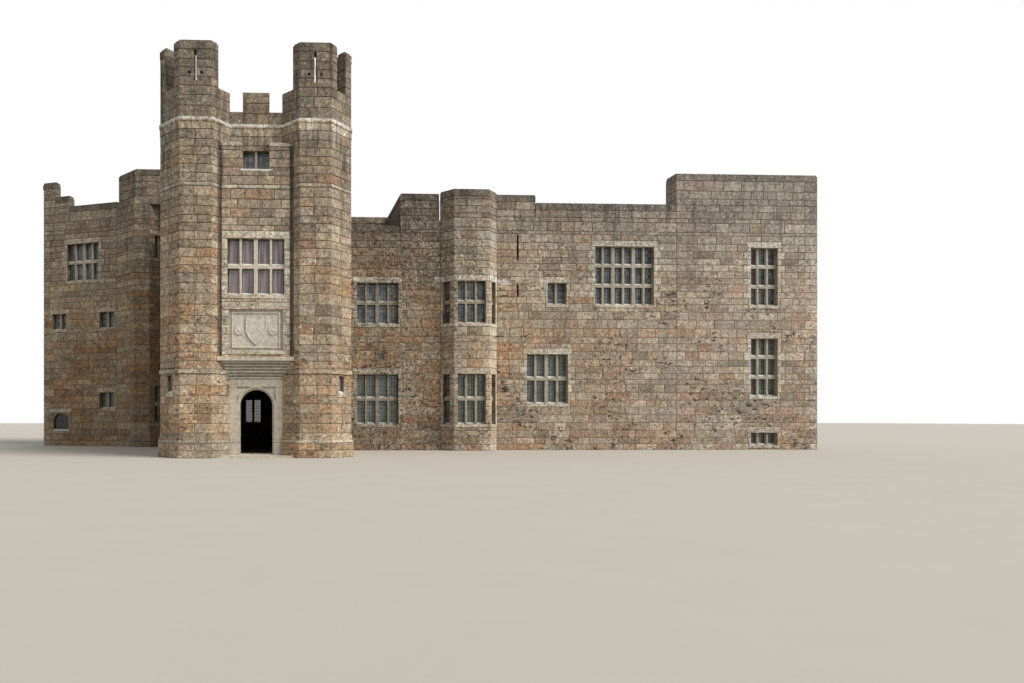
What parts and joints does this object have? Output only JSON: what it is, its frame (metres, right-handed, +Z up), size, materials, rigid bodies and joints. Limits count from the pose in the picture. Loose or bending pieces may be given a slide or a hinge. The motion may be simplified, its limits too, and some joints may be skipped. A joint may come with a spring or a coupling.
{
  "type": "castle keep",
  "caption": "Granite castle with a turreted, battlemented entrance tower, arched doorway, mullioned windows, and a long flat-roofed range with a canted bay.",
  "frame": {"origin": "middle of the doorway on the outer face of the door wall, on the underside of the threshold stone, at ground level", "axes": "+X to the right along the front, +Y into the building, +Z up"},
  "size_m": [39.9171, 19.5793, 16.03],
  "materials": {
    "coursed_granite": "rough coursed ashlar, tan, orange-brown and grey stones",
    "dressed_granite": "fine tooled pale granite",
    "weathered_granite": "lichened grey granite",
    "roof_lead": "flat roof covering on a stone and concrete slab, dull grey",
    "floor_flags": "worn flagstones on a solid slab",
    "glass": "small leaded panes, dark blue-grey"
  },
  "bodies": {
    "root": {"left_turret": "coursed_granite", "right_turret": "coursed_granite", "left_turret_crown": "weathered_granite", "right_turret_crown": "weathered_granite", "centre_parapet": "weathered_granite", "tower_side_walls": "coursed_granite", "tower_rear_wall": "coursed_granite", "tower_rear_parapet": "weathered_granite", "door_wall_left": "dressed_granite", "door_wall_right": "dressed_granite", "door_head": "dressed_granite", "door_stones": "dressed_granite", "corbel_table": "dressed_granite", "relief_panel": "dressed_granite", "centre_wall": "coursed_granite", "tower_mullions": "dressed_granite", "tower_glass": "glass", "tower_floors": "floor_flags", "tower_roof": "roof_lead", "range_front_wall": "coursed_granite", "bay_walls": "coursed_granite", "bay_parapet": "weathered_granite", "range_rear_wall": "coursed_granite", "range_parapets": "weathered_granite", "setback_walls": "coursed_granite", "range_mullions": "dressed_granite", "range_glass": "glass", "range_floors": "floor_flags", "range_roof": "roof_lead", "end_front_wall": "coursed_granite", "end_side_wall": "coursed_granite", "end_rear_wall": "coursed_granite", "end_parapet": "weathered_granite", "link_turret": "coursed_granite", "link_parapet": "weathered_granite", "left_front_wall": "coursed_granite", "left_side_walls": "coursed_granite", "left_rear_wall": "coursed_granite", "left_parapet": "weathered_granite", "left_mullions": "dressed_granite", "left_glass": "glass", "left_floors": "floor_flags", "left_roof": "roof_lead"}
  },
  "joints": []
}
